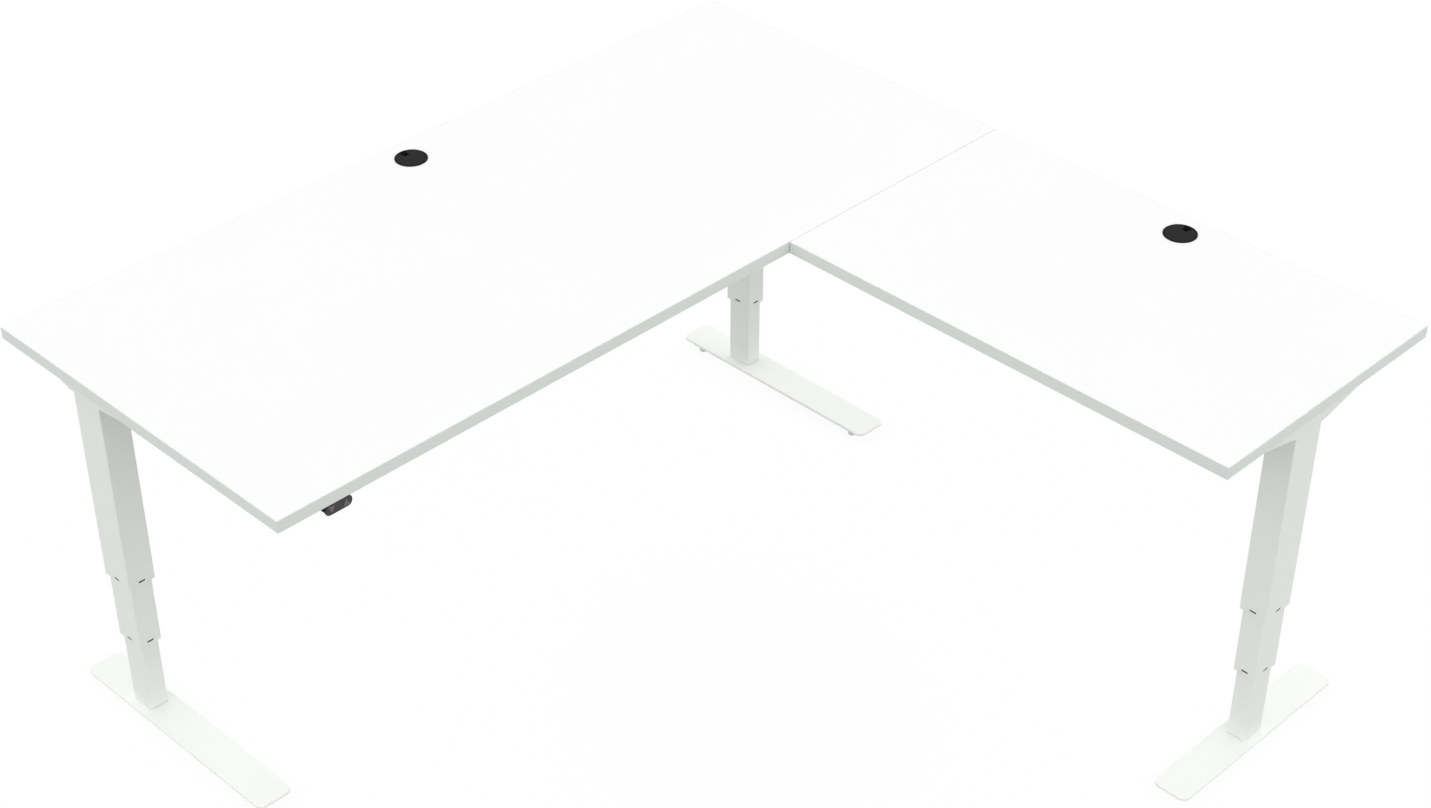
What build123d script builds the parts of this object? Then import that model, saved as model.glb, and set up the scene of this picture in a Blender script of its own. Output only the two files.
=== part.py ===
"""Height adjustable corner desk: two tops on three telescopic columns, in millimetres.

The origin is on the floor, under the middle of the rectangle round both tops. +X runs to the right
along the main top, +Y to its rear edge, +Z up. The desk stands as stored, part way up its travel.
"""

import os
from dataclasses import dataclass

from build123d import *

# ---------------------------------------------------------------- driving dimensions
# Tops
main_width = 1800.0
main_depth = 800.0
extension_width = 600.0
extension_depth = 1000.0
board_thickness = 25.0
edging_thickness = 2.0
edging_corner = 2.0
edging_round = 1.0
seam_gap = 0.3

# Heights as stored, and the travel from there
desk_height = 836.0
floor_gap = 13.0
inner_exposed = 161.0
middle_exposed = 148.5
travel_down = 276.0
stage_share = 0.5

# Columns: places and tube sections
side_inset = 72.5
rear_inset = 180.0
extension_front_inset = 62.0
outer_wide, outer_narrow = 77.0, 59.0
middle_wide, middle_narrow = 67.5, 48.5
inner_wide, inner_narrow = 57.0, 39.0
tube_wall = 2.0
tube_corner = 2.2
tube_slip = 0.3

# Locking slots and glide bushes
slot_length = 15.0
slot_height = 3.8
slot_rise = 7.0
pip_clearance = 0.15
pip_recess = 0.5
bush_height = 40.0
bush_rise = 1.5

# Top plugs and lifting screws
closed_gap = 3.0
plug_boss = 15.0
plug_skirt = 25.0
middle_plug_plate = 6.0
inner_plug_plate = 3.0
drive_screw_diameter = 14.0
drive_collar_diameter = 24.0
drive_collar_height = 6.0
drive_collar_recess = 8.0
drive_journal = 22.0
journal_end_gap = 2.0
drive_screw_foot_gap = 14.0
hollow_screw_diameter = 22.0
hollow_screw_bore = 15.6
hollow_screw_flange = 30.0
hollow_flange_height = 6.0
hollow_screw_ring = 28.0
hollow_ring_height = 4.0
hollow_ring_recess = 5.0
hollow_thread_height = 25.0
hollow_screw_foot_gap = 22.0
screw_clearance = 0.25
lower_nut_diameter = 28.0
lower_nut_height = 30.0

# Gear housing and motor
gear_housing_height = 60.5
gear_housing_fit = 0.2
motor_axis_rise = 29.5
motor_neck_diameter = 30.0
motor_diameter = 48.0
motor_length = 120.0
motor_cap_diameter = 38.0
motor_cap_length = 8.0
motor_socket_width = 14.0
motor_socket_height = 8.0
motor_socket_depth = 6.0

# Support arms
arm_sheet = 2.5
arm_depth = 63.7
arm_flat_half = 44.6
arm_fit = 0.25
arm_bend = 2.0
arm_end_round = 6.0

# Rails, end plates and joining plates
rail_width = 25.0
rail_height = 45.0
rail_wall = 2.0
rail_corner = 3.0
rail_motor_gap = 15.5
plate_thickness = 3.0
plate_corner = 3.0
end_plate_margin = 15.5
end_plate_drop = 55.0
joining_plate_length = 140.0
joining_plate_width = 60.0
joining_plate_inset = 110.0
joining_screw_side = 18.0
joining_screw_reach = 45.0

# Screws and bolts
hole_clearance = 0.2
countersink_taper = 45.0
cross_length = 4.6
cross_width = 1.0
cross_depth = 1.5
wood_screw_diameter = 4.2
wood_screw_length = 18.0
wood_screw_head = 9.0
wood_screw_head_height = 2.4
near_station = 70.0
end_margin = 25.0
bolt_diameter = 6.0
bolt_head_flats = 10.0
bolt_head_height = 4.0
bolt_nut_height = 5.0
bolt_end = 1.5
bolt_side_gap = 7.5
bolt_top_drop = 11.0
bolt_pitch = 22.0
head_screw_diameter = 5.0
head_screw_head = 9.4
head_screw_length = 16.0
head_screw_wide = 25.0
head_screw_narrow = 18.0
head_screw_socket = 3.0
head_socket_depth = 2.2
foot_screw_diameter = 8.0
foot_screw_head = 15.0
foot_screw_length = 16.0
foot_screw_spread = 15.0
foot_screw_socket = 5.0
foot_socket_depth = 3.2

# Foot plates, stiffeners and levelling feet
foot_width = 77.0
foot_thickness = 5.0
foot_corner = 15.0
foot_edge = 0.8
base_block_height = 12.0
base_block_fit = 0.2
base_flange_height = 0.8
base_flange_inset = 1.0
stiffener_thickness = 3.0
stiffener_width = 28.0
stiffener_inset = 2.0
boss_diameter = 16.0
boss_height = 4.0
leveller_inset = 12.0
leveller_diameter = 18.0
leveller_height = 5.7
leveller_edge = 1.2
leveller_stud = 8.0
leveller_skin = 1.0
leveller_end_gap = 0.6

# Cable grommets
grommet_edge_distance = 62.0
grommet_hole = 60.0
grommet_flange = 66.0
grommet_bore = 55.0
grommet_depth = 22.0
grommet_fit = 0.2
grommet_ledge = 0.4
grommet_rim = 1.6
grommet_round = 1.0
cap_diameter = 58.4
cap_rim_gap = 0.3
cap_thickness = 1.2
cap_skirt_depth = 8.0
cap_skirt_wall = 1.8
cap_skirt_gap = 0.35
notch_mouth = 20.5
notch_end = 10.0
notch_reach = 11.5
notch_corner = 2.5

# Handset
handset_inset = 125.3
handset_setback = 0.5
handset_length = 57.0
handset_height = 22.0
handset_depth = 62.0
handset_lip = 1.2
handset_wall = 1.4
handset_front = 3.0
handset_cover = 2.0
handset_bevel = 1.2
handset_gland = 5.0
ear_reach = 12.0
ear_thickness = 3.0
ear_depth = 18.0
ear_from_back = 14.0
button_spread = 15.4
button_width = 13.8
button_height = 13.6
button_corner = 1.2
button_bevel = 0.3
button_gap = 0.25
button_proud = 0.6
button_travel = 1.2
button_flange = 1.0
button_flange_depth = 1.2
button_stem = 4.0
button_stem_length = 4.0
switch_size = 6.0
switch_height = 3.5
switch_plunger = 3.5
switch_plunger_height = 1.0
handset_board_thickness = 1.6

# Control box
box_length = 240.0
box_depth = 100.0
box_height = 34.0
box_corner = 6.0
box_rail_gap = 15.0
socket_depth = 12.0
socket_width = 14.0
socket_height = 12.0
socket_pitch = 30.0
socket_count = 4
inlet_offset = 88.0
inlet_width = 28.0
inlet_height = 20.0
box_ear_width = 24.0
box_ear_reach = 14.0
box_ear_thickness = 3.0

# ---------------------------------------------------------------- worked-out places
right_x = main_width / 2
left_x = -right_x
seam_y = (extension_depth - main_depth) / 2
rear_y = seam_y + main_depth
front_y = seam_y - extension_depth
underside = desk_height - board_thickness
extension_left_x = right_x - extension_width

foot_top = floor_gap + foot_thickness
middle_bottom = foot_top + inner_exposed
outer_bottom = middle_bottom + middle_exposed
outer_top = underside - arm_sheet
stage_down = travel_down * stage_share
gear_bottom = outer_top - gear_housing_height
hollow_top = gear_bottom - travel_down + stage_down - closed_gap
hollow_seat = hollow_top - hollow_flange_height
middle_top = hollow_seat - middle_plug_plate - tube_slip
inner_plug_top = middle_top - plug_boss - stage_down - closed_gap
inner_top = inner_plug_top - inner_plug_plate
middle_plug_bottom = middle_top - plug_boss
hollow_ring_top = middle_plug_bottom + hollow_ring_recess
collar_top = gear_bottom + drive_collar_recess
block_top = foot_top + base_block_height
inner_bottom = foot_top + base_flange_height
hollow_bottom = block_top + hollow_screw_foot_gap + stage_down
drive_bottom = block_top + drive_screw_foot_gap + travel_down
motor_axis_z = gear_bottom + motor_axis_rise

arm_inner = outer_narrow + 2 * arm_fit
arm_outer = arm_inner + 2 * arm_sheet
arm_bottom = underside - arm_depth
rail_offset = motor_diameter / 2 + rail_motor_gap + rail_width / 2
rail_axis_z = underside - rail_height / 2
bolt_offset = rail_offset + rail_width / 2 + bolt_side_gap
end_plate_width = 2 * (rail_offset + rail_width / 2 + end_plate_margin)
rail_start = arm_outer / 2 + plate_thickness
column_y = rear_y - rear_inset
front_rail_face_y = column_y - rail_offset - rail_width / 2
stiffener_bottom = floor_gap - stiffener_thickness
boss_bottom = stiffener_bottom - boss_height

up = Vector(0, 0, 1)


@dataclass
class Section:
    """Outline of a tube or plug: its wide and narrow sides and its corner radius."""

    wide: float
    narrow: float
    corner: float

    def inset(self, amount):
        """The same outline, smaller by this amount on every side."""
        corner = max(self.corner - amount, 0.5)
        return Section(self.wide - 2 * amount, self.narrow - 2 * amount, corner)


@dataclass
class Leg:
    """A column with its foot and arm. along is the way that the foot's long side runs to its front
    end; inner_side is +1 or -1, the side of that line on which the rest of the frame lies."""

    name: str
    x: float
    y: float
    along: Vector
    inner_side: int
    front_reach: float
    rear_reach: float
    front_end_depth: float
    rear_end_depth: float
    front_stiffener_gap: float
    rear_stiffener_gap: float
    front_leveller_gap: float
    rear_leveller_gap: float
    front_name: str
    rear_name: str

    def plane(self, height):
        """Level plane about the column's axis, x along the foot."""
        return Plane(origin=(self.x, self.y, height), x_dir=self.along, z_dir=up)

    def plane_down(self, height):
        """The same, but facing down."""
        return Plane(origin=(self.x, self.y, height), x_dir=self.along, z_dir=-up)

    def side_plane(self):
        """Upright plane through the column's axis, x along the foot and y up from the floor."""
        return Plane(origin=(self.x, self.y, 0), x_dir=self.along, z_dir=self.along.cross(up))

    def inner_plane(self, distance):
        """Upright plane on the frame's side of the column, facing the frame, y up from the floor."""
        inner = up.cross(self.along) * self.inner_side
        place = Vector(self.x, self.y, 0) + inner * distance
        return Plane(origin=place, x_dir=up.cross(inner), z_dir=inner)

    def stations(self):
        """Places along the arm of the screws that hold the top."""
        front_last = self.front_reach - end_margin
        front_middle = (near_station + front_last) / 2
        return (end_margin - self.rear_reach, -near_station, near_station, front_middle, front_last)

    def levellers(self):
        """Name, and place along and across the foot, of its two levelling feet."""
        across = self.inner_side * (foot_width / 2 - leveller_inset)
        front = self.front_reach - self.front_leveller_gap
        rear = self.rear_leveller_gap - self.rear_reach
        return ((self.front_name, front, across), (self.rear_name, rear, across))


left_leg = Leg(
    "left", left_x + side_inset, column_y, Vector(0, -1, 0), 1,
    front_reach=396.0, rear_reach=162.0, front_end_depth=18.0, rear_end_depth=33.0,
    front_stiffener_gap=13.0, rear_stiffener_gap=34.0, front_leveller_gap=36.0, rear_leveller_gap=55.0,
    front_name="front", rear_name="rear",
)
corner_leg = Leg(
    "corner", right_x - side_inset, column_y, Vector(0, -1, 0), -1,
    front_reach=396.0, rear_reach=162.0, front_end_depth=18.0, rear_end_depth=33.0,
    front_stiffener_gap=13.0, rear_stiffener_gap=34.0, front_leveller_gap=36.0, rear_leveller_gap=55.0,
    front_name="front", rear_name="rear",
)
extension_leg = Leg(
    "extension", right_x - extension_width / 2, front_y + extension_front_inset, Vector(1, 0, 0), 1,
    front_reach=240.0, rear_reach=240.0, front_end_depth=19.0, rear_end_depth=19.0,
    front_stiffener_gap=24.0, rear_stiffener_gap=24.0, front_leveller_gap=45.0, rear_leveller_gap=45.0,
    front_name="right", rear_name="left",
)
legs = (left_leg, corner_leg, extension_leg)

outer_section = Section(outer_wide, outer_narrow, tube_corner)
middle_section = Section(middle_wide, middle_narrow, tube_corner)
inner_section = Section(inner_wide, inner_narrow, tube_corner)

os.makedirs("parts", exist_ok=True)


def save(piece, name):
    """Labels a finished piece and writes it under its node name."""
    piece.part.label = name
    export_step(piece.part, f"parts/{name}.step")


# ---------------------------------------------------------------- forms that repeat
def prism(leg, section, bottom, top, mode=Mode.ADD):
    """Rounded rectangle about a column's axis, between two heights."""
    with BuildSketch(leg.plane(bottom)) as outline:
        RectangleRounded(section.wide, section.narrow, section.corner)
    extrude(outline.sketch, amount=top - bottom, mode=mode)


def rod(plane, diameter, length, at=(0, 0), mode=Mode.ADD):
    """Round bar or hole that starts on a plane and follows its normal."""
    with BuildSketch(plane) as outline:
        with Locations(at):
            Circle(diameter / 2)
    extrude(outline.sketch, amount=length, mode=mode)


def upright_rod(leg, diameter, bottom, top, at=(0, 0), mode=Mode.ADD):
    """Round bar or hole parallel to a column's axis, between two heights."""
    rod(leg.plane(bottom), diameter, top - bottom, at, mode)


def countersunk(plane, at, head, shank, length, clearance=0.0, mode=Mode.ADD):
    """Countersunk screw, or the hole that its head seats in: its face lies on the plane and its shank
    follows the normal."""
    hole = shank + 2 * clearance
    with BuildSketch(plane) as face:
        with Locations(at):
            Circle(head / 2)
    extrude(face.sketch, amount=(head - hole) / 2, taper=countersink_taper, mode=mode)
    rod(plane, hole, length, at, mode)


def hexagon(plane, at, flats, height, mode=Mode.ADD):
    """Hexagonal bolt head, nut or key socket that starts on a plane and follows its normal."""
    with BuildSketch(plane) as outline:
        with Locations(at):
            RegularPolygon(flats / 2, 6, major_radius=False)
    extrude(outline.sketch, amount=height, mode=mode)


def locking_slots(leg, bottom, section, clearance, recess, mode):
    """Slots near the lower rim of a tube on all four sides, or the pips that fill them."""
    height = bottom + slot_rise
    for normal, half in ((leg.along, section.wide / 2), (up.cross(leg.along), section.narrow / 2)):
        through = Plane(origin=(leg.x, leg.y, height), x_dir=up.cross(normal), z_dir=normal)
        with BuildSketch(through) as outline:
            SlotOverall(slot_length - 2 * clearance, slot_height - 2 * clearance)
        extrude(outline.sketch, amount=half - recess, both=True, mode=mode)


def column_tube(leg, section, bottom, top, slots):
    """Rectangular tube of a column; the two upper stages have locking slots near their lower rim."""
    prism(leg, section, bottom, top)
    prism(leg, section.inset(tube_wall), bottom, top, mode=Mode.SUBTRACT)
    if slots:
        locking_slots(leg, bottom, section, 0.0, -tube_wall, Mode.SUBTRACT)


def guide_bush(leg, carrier, rider, tube_bottom):
    """Glide bush fixed in the lower end of one tube, in which the next tube slides."""
    bottom = tube_bottom + bush_rise
    top = bottom + bush_height
    prism(leg, carrier.inset(tube_wall), bottom, top)
    locking_slots(leg, tube_bottom, carrier, pip_clearance, pip_recess, Mode.ADD)
    prism(leg, rider.inset(-tube_slip), bottom, top, mode=Mode.SUBTRACT)


def top_plug(leg, carrier, guide, tube_top, plate, bore):
    """Plug on the upper end of a tube: a plate on its rim, a boss inside it, a skirt that glides in
    the next larger tube, and a hole for the screw parts."""
    glide = guide.inset(tube_wall + tube_slip)
    prism(leg, glide, tube_top - plug_skirt, tube_top + plate)
    prism(leg, carrier, tube_top - plug_skirt, tube_top, mode=Mode.SUBTRACT)
    prism(leg, carrier.inset(tube_wall), tube_top - plug_boss, tube_top + plate)
    upright_rod(leg, bore, tube_top - plug_boss, tube_top + plate, mode=Mode.SUBTRACT)


def wood_screw(x, y, seat):
    """Cross head wood screw driven up into a board from a sheet whose lower face is at seat."""
    head_plane = Plane.XY.offset(seat - wood_screw_head_height)
    rod(head_plane, wood_screw_head, wood_screw_head_height, (x, y))
    rod(Plane.XY.offset(seat), wood_screw_diameter, wood_screw_length, (x, y))
    with BuildSketch(head_plane) as cross:
        with Locations((x, y)):
            Rectangle(cross_length, cross_width)
            Rectangle(cross_width, cross_length)
    extrude(cross.sketch, amount=cross_depth, mode=Mode.SUBTRACT)


def leg_point(leg, u, v):
    """Place on the floor of a point given along and across a foot."""
    place = Vector(leg.x, leg.y, 0) + leg.along * u + up.cross(leg.along) * v
    return place.X, place.Y


def pilot_hole(x, y, sheet):
    """Hole in a board's underside for a wood screw that passes a sheet of this thickness first."""
    depth = wood_screw_length - sheet + hole_clearance * 2
    plane = Plane.XY.offset(underside)
    rod(plane, wood_screw_diameter + 2 * hole_clearance, depth, (x, y), Mode.SUBTRACT)


def sheet_hole(x, y, sheet):
    """Hole through a sheet under a board for a wood screw."""
    plane = Plane.XY.offset(underside - sheet)
    rod(plane, wood_screw_diameter + 2 * hole_clearance, sheet, (x, y), Mode.SUBTRACT)


# ---------------------------------------------------------------- places of the screws into the tops
arm_screws = {leg.name: [leg_point(leg, u, 0) for u in leg.stations()] for leg in legs}

joining_plate_xs = (extension_left_x + joining_plate_inset, right_x - joining_plate_inset)
joining_screws = [
    (x + side * joining_screw_side, seam_y + way * joining_screw_reach)
    for x in joining_plate_xs
    for side in (-1, 1)
    for way in (-1, 1)
]

handset_x = left_x + handset_inset
handset_z = underside - handset_height / 2
handset_face_y = seam_y + handset_setback
ear_centre_y = handset_face_y + handset_depth - ear_from_back - ear_depth / 2
ear_centre_x = handset_length / 2 + ear_reach / 2
handset_screws = [(handset_x + side * ear_centre_x, ear_centre_y) for side in (-1, 1)]

box_y = front_rail_face_y - box_rail_gap - box_depth / 2
box_z = underside - box_height / 2
box_ear_x = box_length / 2 + box_ear_reach / 2
box_ear_offset = box_depth / 2 - box_ear_width / 2
box_screws = [(side * box_ear_x, box_y + way * box_ear_offset) for side in (-1, 1) for way in (-1, 1)]

main_board_screws = [(point, arm_sheet) for name in ("left", "corner") for point in arm_screws[name]]
main_board_screws += [(point, plate_thickness) for point in joining_screws if point[1] > seam_y]
main_board_screws += [(point, ear_thickness) for point in handset_screws]
main_board_screws += [(point, box_ear_thickness) for point in box_screws]
extension_board_screws = [(point, arm_sheet) for point in arm_screws["extension"]]
extension_board_screws += [(point, plate_thickness) for point in joining_screws if point[1] < seam_y]


# ---------------------------------------------------------------- tops
@dataclass
class Top:
    """One board with its edging and grommet. notch is the way that its cable notch faces."""

    name: str
    low_x: float
    low_y: float
    width: float
    depth: float
    grommet_x: float
    grommet_y: float
    notch: Vector
    screws: list

    def plane(self, height):
        """Level plane about the middle of the board."""
        centre = (self.low_x + self.width / 2, self.low_y + self.depth / 2, height)
        return Plane(origin=centre, x_dir=(1, 0, 0), z_dir=up)

    def grommet_plane(self, height):
        """Level plane about the grommet's axis, x towards its notch."""
        return Plane(origin=(self.grommet_x, self.grommet_y, height), x_dir=self.notch, z_dir=up)


main = Top(
    "main", left_x, seam_y, main_width, main_depth,
    grommet_x=0.0, grommet_y=rear_y - grommet_edge_distance, notch=Vector(0, 1, 0),
    screws=main_board_screws,
)
extension = Top(
    "extension", extension_left_x, front_y, extension_width, extension_depth - seam_gap,
    grommet_x=right_x - grommet_edge_distance, grommet_y=seam_y - extension_depth / 2,
    notch=Vector(1, 0, 0), screws=extension_board_screws,
)

for top in (main, extension):
    with BuildPart() as board:
        with BuildSketch(top.plane(underside)):
            Rectangle(top.width - 2 * edging_thickness, top.depth - 2 * edging_thickness)
        extrude(amount=board_thickness)
        rod(top.grommet_plane(underside), grommet_hole, board_thickness, mode=Mode.SUBTRACT)
        for (x, y), sheet in top.screws:
            pilot_hole(x, y, sheet)
    save(board, f"{top.name}_top")

    with BuildPart() as edging:
        with BuildSketch(top.plane(underside)):
            RectangleRounded(top.width, top.depth, edging_corner)
        extrude(amount=board_thickness)
        fillet(edging.edges().group_by(Axis.Z)[0] + edging.edges().group_by(Axis.Z)[-1], edging_round)
        with BuildSketch(top.plane(underside)):
            Rectangle(top.width - 2 * edging_thickness, top.depth - 2 * edging_thickness)
        extrude(amount=board_thickness, mode=Mode.SUBTRACT)
    save(edging, f"{top.name}_edging")

    # The ring hangs in the board by its flange; its ledge carries the cap.
    with BuildPart() as ring:
        sleeve_plane = top.grommet_plane(desk_height - grommet_depth)
        rod(sleeve_plane, grommet_hole - 2 * grommet_fit, grommet_depth)
        rod(top.grommet_plane(desk_height), grommet_flange, grommet_rim)
        fillet(ring.edges().group_by(Axis.Z)[-1], grommet_round)
        rod(sleeve_plane, grommet_bore, grommet_depth + grommet_rim, mode=Mode.SUBTRACT)
        ledge_plane = top.grommet_plane(desk_height + grommet_ledge)
        rod(ledge_plane, cap_diameter + 2 * cap_rim_gap, grommet_rim, mode=Mode.SUBTRACT)
    save(ring, f"{top.name}_grommet_ring")

    with BuildPart() as cap:
        cap_bottom = desk_height + grommet_ledge
        rod(top.grommet_plane(cap_bottom), cap_diameter, cap_thickness)
        skirt_plane = top.grommet_plane(cap_bottom - cap_skirt_depth)
        skirt_diameter = grommet_bore - 2 * cap_skirt_gap
        rod(skirt_plane, skirt_diameter, cap_skirt_depth)
        rod(skirt_plane, skirt_diameter - 2 * cap_skirt_wall, cap_skirt_depth, mode=Mode.SUBTRACT)
        with BuildSketch(skirt_plane) as notch:
            Polygon(
                (notch_reach, -notch_end / 2), (grommet_flange / 2, -notch_mouth / 2),
                (grommet_flange / 2, notch_mouth / 2), (notch_reach, notch_end / 2), align=None,
            )
            fillet(notch.vertices().sort_by(Axis.X)[:2], notch_corner)
        extrude(amount=cap_skirt_depth + cap_thickness, mode=Mode.SUBTRACT)
    save(cap, f"{top.name}_grommet_cap")


# ---------------------------------------------------------------- columns
for leg in legs:
    with BuildPart() as inner_tube:
        column_tube(leg, inner_section, inner_bottom, inner_top, slots=False)
    save(inner_tube, f"{leg.name}_inner_tube")

    with BuildPart() as middle_tube:
        column_tube(leg, middle_section, middle_bottom, middle_top, slots=True)
    save(middle_tube, f"{leg.name}_middle_tube")

    # The outer tube has a round window near its top, where the motor's neck reaches the gears.
    with BuildPart() as outer_tube:
        column_tube(leg, outer_section, outer_bottom, outer_top, slots=True)
        window_plane = leg.inner_plane(0)
        window_diameter = motor_neck_diameter + 2 * hole_clearance
        rod(window_plane, window_diameter, outer_narrow, (0, motor_axis_z), Mode.SUBTRACT)
    save(outer_tube, f"{leg.name}_outer_tube")

    with BuildPart() as middle_glides:
        guide_bush(leg, middle_section, inner_section, middle_bottom)
        bore = hollow_screw_diameter + 2 * screw_clearance
        top_plug(leg, middle_section, outer_section, middle_top, middle_plug_plate, bore)
        recess = hollow_screw_ring + 2 * screw_clearance
        upright_rod(leg, recess, middle_plug_bottom, hollow_ring_top, mode=Mode.SUBTRACT)
    save(middle_glides, f"{leg.name}_middle_glides")

    # The drive screw hangs by its collar in the gear housing and turns inside the hollow screw.
    with BuildPart() as drive_screw:
        upright_rod(leg, drive_screw_diameter, drive_bottom, gear_bottom + drive_journal)
        upright_rod(leg, drive_collar_diameter, collar_top - drive_collar_height, collar_top)
    save(drive_screw, f"{leg.name}_drive_screw")

    # The hollow screw turns in the middle plug, held by its flange and ring; it runs in the lower nut.
    with BuildPart() as hollow_screw:
        upright_rod(leg, hollow_screw_diameter, hollow_bottom, hollow_top)
        upright_rod(leg, hollow_screw_flange, hollow_seat, hollow_top)
        upright_rod(leg, hollow_screw_ring, hollow_ring_top - hollow_ring_height, hollow_ring_top)
        thread_bottom = hollow_top - hollow_thread_height
        upright_rod(leg, hollow_screw_bore, hollow_bottom, thread_bottom, mode=Mode.SUBTRACT)
        thread_bore = drive_screw_diameter + 2 * screw_clearance
        upright_rod(leg, thread_bore, thread_bottom, hollow_top, mode=Mode.SUBTRACT)
    save(hollow_screw, f"{leg.name}_hollow_screw")

with BuildPart() as outer_bushes:
    for leg in legs:
        guide_bush(leg, outer_section, middle_section, outer_bottom)
save(outer_bushes, "outer_bushes")

with BuildPart() as inner_plugs:
    for leg in legs:
        top_plug(
            leg, inner_section, middle_section, inner_top, inner_plug_plate, lower_nut_diameter
        )
save(inner_plugs, "inner_plugs")

with BuildPart() as lower_nuts:
    for leg in legs:
        nut_bottom = inner_plug_top - lower_nut_height
        upright_rod(leg, lower_nut_diameter, nut_bottom, inner_plug_top)
        thread = hollow_screw_diameter + 2 * screw_clearance
        upright_rod(leg, thread, nut_bottom, inner_plug_top, mode=Mode.SUBTRACT)
save(lower_nuts, "lower_nuts")

# Gear housings fill the heads of the outer tubes, below the arms' webs.
gear_section = outer_section.inset(tube_wall + gear_housing_fit)
head_screw_places = [
    (u * head_screw_wide, v * head_screw_narrow) for u in (-1, 1) for v in (-1, 1)
]
with BuildPart() as gear_housings:
    for leg in legs:
        prism(leg, gear_section, gear_bottom, outer_top)
        journal_bore = drive_screw_diameter + 2 * screw_clearance
        journal_top = gear_bottom + drive_journal + journal_end_gap
        upright_rod(leg, journal_bore, gear_bottom, journal_top, mode=Mode.SUBTRACT)
        collar_bore = drive_collar_diameter + 2 * screw_clearance
        upright_rod(leg, collar_bore, gear_bottom, collar_top, mode=Mode.SUBTRACT)
        for place in head_screw_places:
            hole_bottom = underside - head_screw_length - hole_clearance
            hole_size = head_screw_diameter + 2 * hole_clearance
            upright_rod(leg, hole_size, hole_bottom, outer_top, place, Mode.SUBTRACT)
save(gear_housings, "gear_housings")

# Each motor lies level between the rails, its neck through the arm and the tube; the socket for its
# lead is in its end.
for leg in legs:
    with BuildPart() as motor:
        neck_start = gear_section.narrow / 2
        rod(leg.inner_plane(neck_start), motor_neck_diameter, rail_start - neck_start, (0, motor_axis_z))
        rod(leg.inner_plane(rail_start), motor_diameter, motor_length, (0, motor_axis_z))
        cap_plane = leg.inner_plane(rail_start + motor_length)
        rod(cap_plane, motor_cap_diameter, motor_cap_length, (0, motor_axis_z))
        with BuildSketch(cap_plane.offset(motor_cap_length)):
            with Locations((0, motor_axis_z)):
                Rectangle(motor_socket_width, motor_socket_height)
        extrude(amount=-motor_socket_depth, mode=Mode.SUBTRACT)
    save(motor, f"{leg.name}_motor")


# ---------------------------------------------------------------- support arms
bolt_places = [
    (side * bolt_offset, underside - bolt_top_drop - row * bolt_pitch) for side in (-1, 1) for row in (0, 1)
]

for leg in legs:
    # A folded channel, open below, deepest round the column and tapered to both ends.
    with BuildPart() as arm:
        with BuildSketch(leg.side_plane()) as profile:
            with BuildLine():
                Polyline(
                    (-leg.rear_reach, underside),
                    (-leg.rear_reach, underside - leg.rear_end_depth),
                    (-arm_flat_half, arm_bottom),
                    (arm_flat_half, arm_bottom),
                    (leg.front_reach, underside - leg.front_end_depth),
                    (leg.front_reach, underside),
                    close=True,
                )
            make_face()
            fillet(profile.vertices().sort_by(Axis.Y)[2:4], arm_end_round)
        extrude(amount=arm_outer / 2, both=True)
        bends = arm.edges().filter_by(Axis(origin=(0, 0, 0), direction=leg.along)).group_by(Axis.Z)[-1]
        fillet(bends, arm_bend)
        with BuildSketch(leg.plane(outer_top)):
            with Locations(((leg.front_reach - leg.rear_reach) / 2, 0)):
                Rectangle(leg.front_reach + leg.rear_reach, arm_inner)
        extrude(amount=-arm_depth, mode=Mode.SUBTRACT)
        for x, y in arm_screws[leg.name]:
            sheet_hole(x, y, arm_sheet)
        for place in head_screw_places:
            countersunk(
                leg.plane_down(underside), place, head_screw_head, head_screw_diameter, arm_sheet,
                hole_clearance, Mode.SUBTRACT,
            )
        side_face = leg.inner_plane(arm_inner / 2)
        neck_hole = motor_neck_diameter + 2 * hole_clearance
        rod(side_face, neck_hole, arm_sheet, (0, motor_axis_z), Mode.SUBTRACT)
        for place in bolt_places:
            rod(side_face, bolt_diameter + 2 * hole_clearance, arm_sheet, place, Mode.SUBTRACT)
    save(arm, f"{leg.name}_support_arm")


# ---------------------------------------------------------------- rails and plates
def rail(plane, length):
    """Rectangular tube rail that starts on a plane, its tall side along the plane's y."""
    with BuildSketch(plane) as outline:
        RectangleRounded(rail_width, rail_height, rail_corner)
        RectangleRounded(
            rail_width - 2 * rail_wall, rail_height - 2 * rail_wall, rail_corner / 2, mode=Mode.SUBTRACT
        )
    extrude(outline.sketch, amount=length)


main_rail_start = left_leg.x + rail_start
main_rail_length = corner_leg.x - rail_start - main_rail_start
with BuildPart() as main_rails:
    for side in (-1, 1):
        start = (main_rail_start, column_y + side * rail_offset, rail_axis_z)
        rail(Plane(origin=start, x_dir=(0, 1, 0), z_dir=(1, 0, 0)), main_rail_length)
    # Two threaded holes in the front rail's front wall take the bolts of the extension rails.
    tee_plane = Plane(
        origin=(extension_leg.x, front_rail_face_y, 0), x_dir=(1, 0, 0), z_dir=(0, -1, 0)
    )
    for x, z in bolt_places:
        rod(tee_plane, bolt_diameter + 2 * hole_clearance, -rail_wall, (x, z), Mode.SUBTRACT)
save(main_rails, "main_rails")

extension_rail_start = extension_leg.y + rail_start
extension_rail_length = front_rail_face_y - plate_thickness - extension_rail_start
with BuildPart() as extension_rails:
    for side in (-1, 1):
        start = (extension_leg.x + side * rail_offset, extension_rail_start, rail_axis_z)
        rail(Plane(origin=start, x_dir=(-1, 0, 0), z_dir=(0, 1, 0)), extension_rail_length)
save(extension_rails, "extension_rails")


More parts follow.
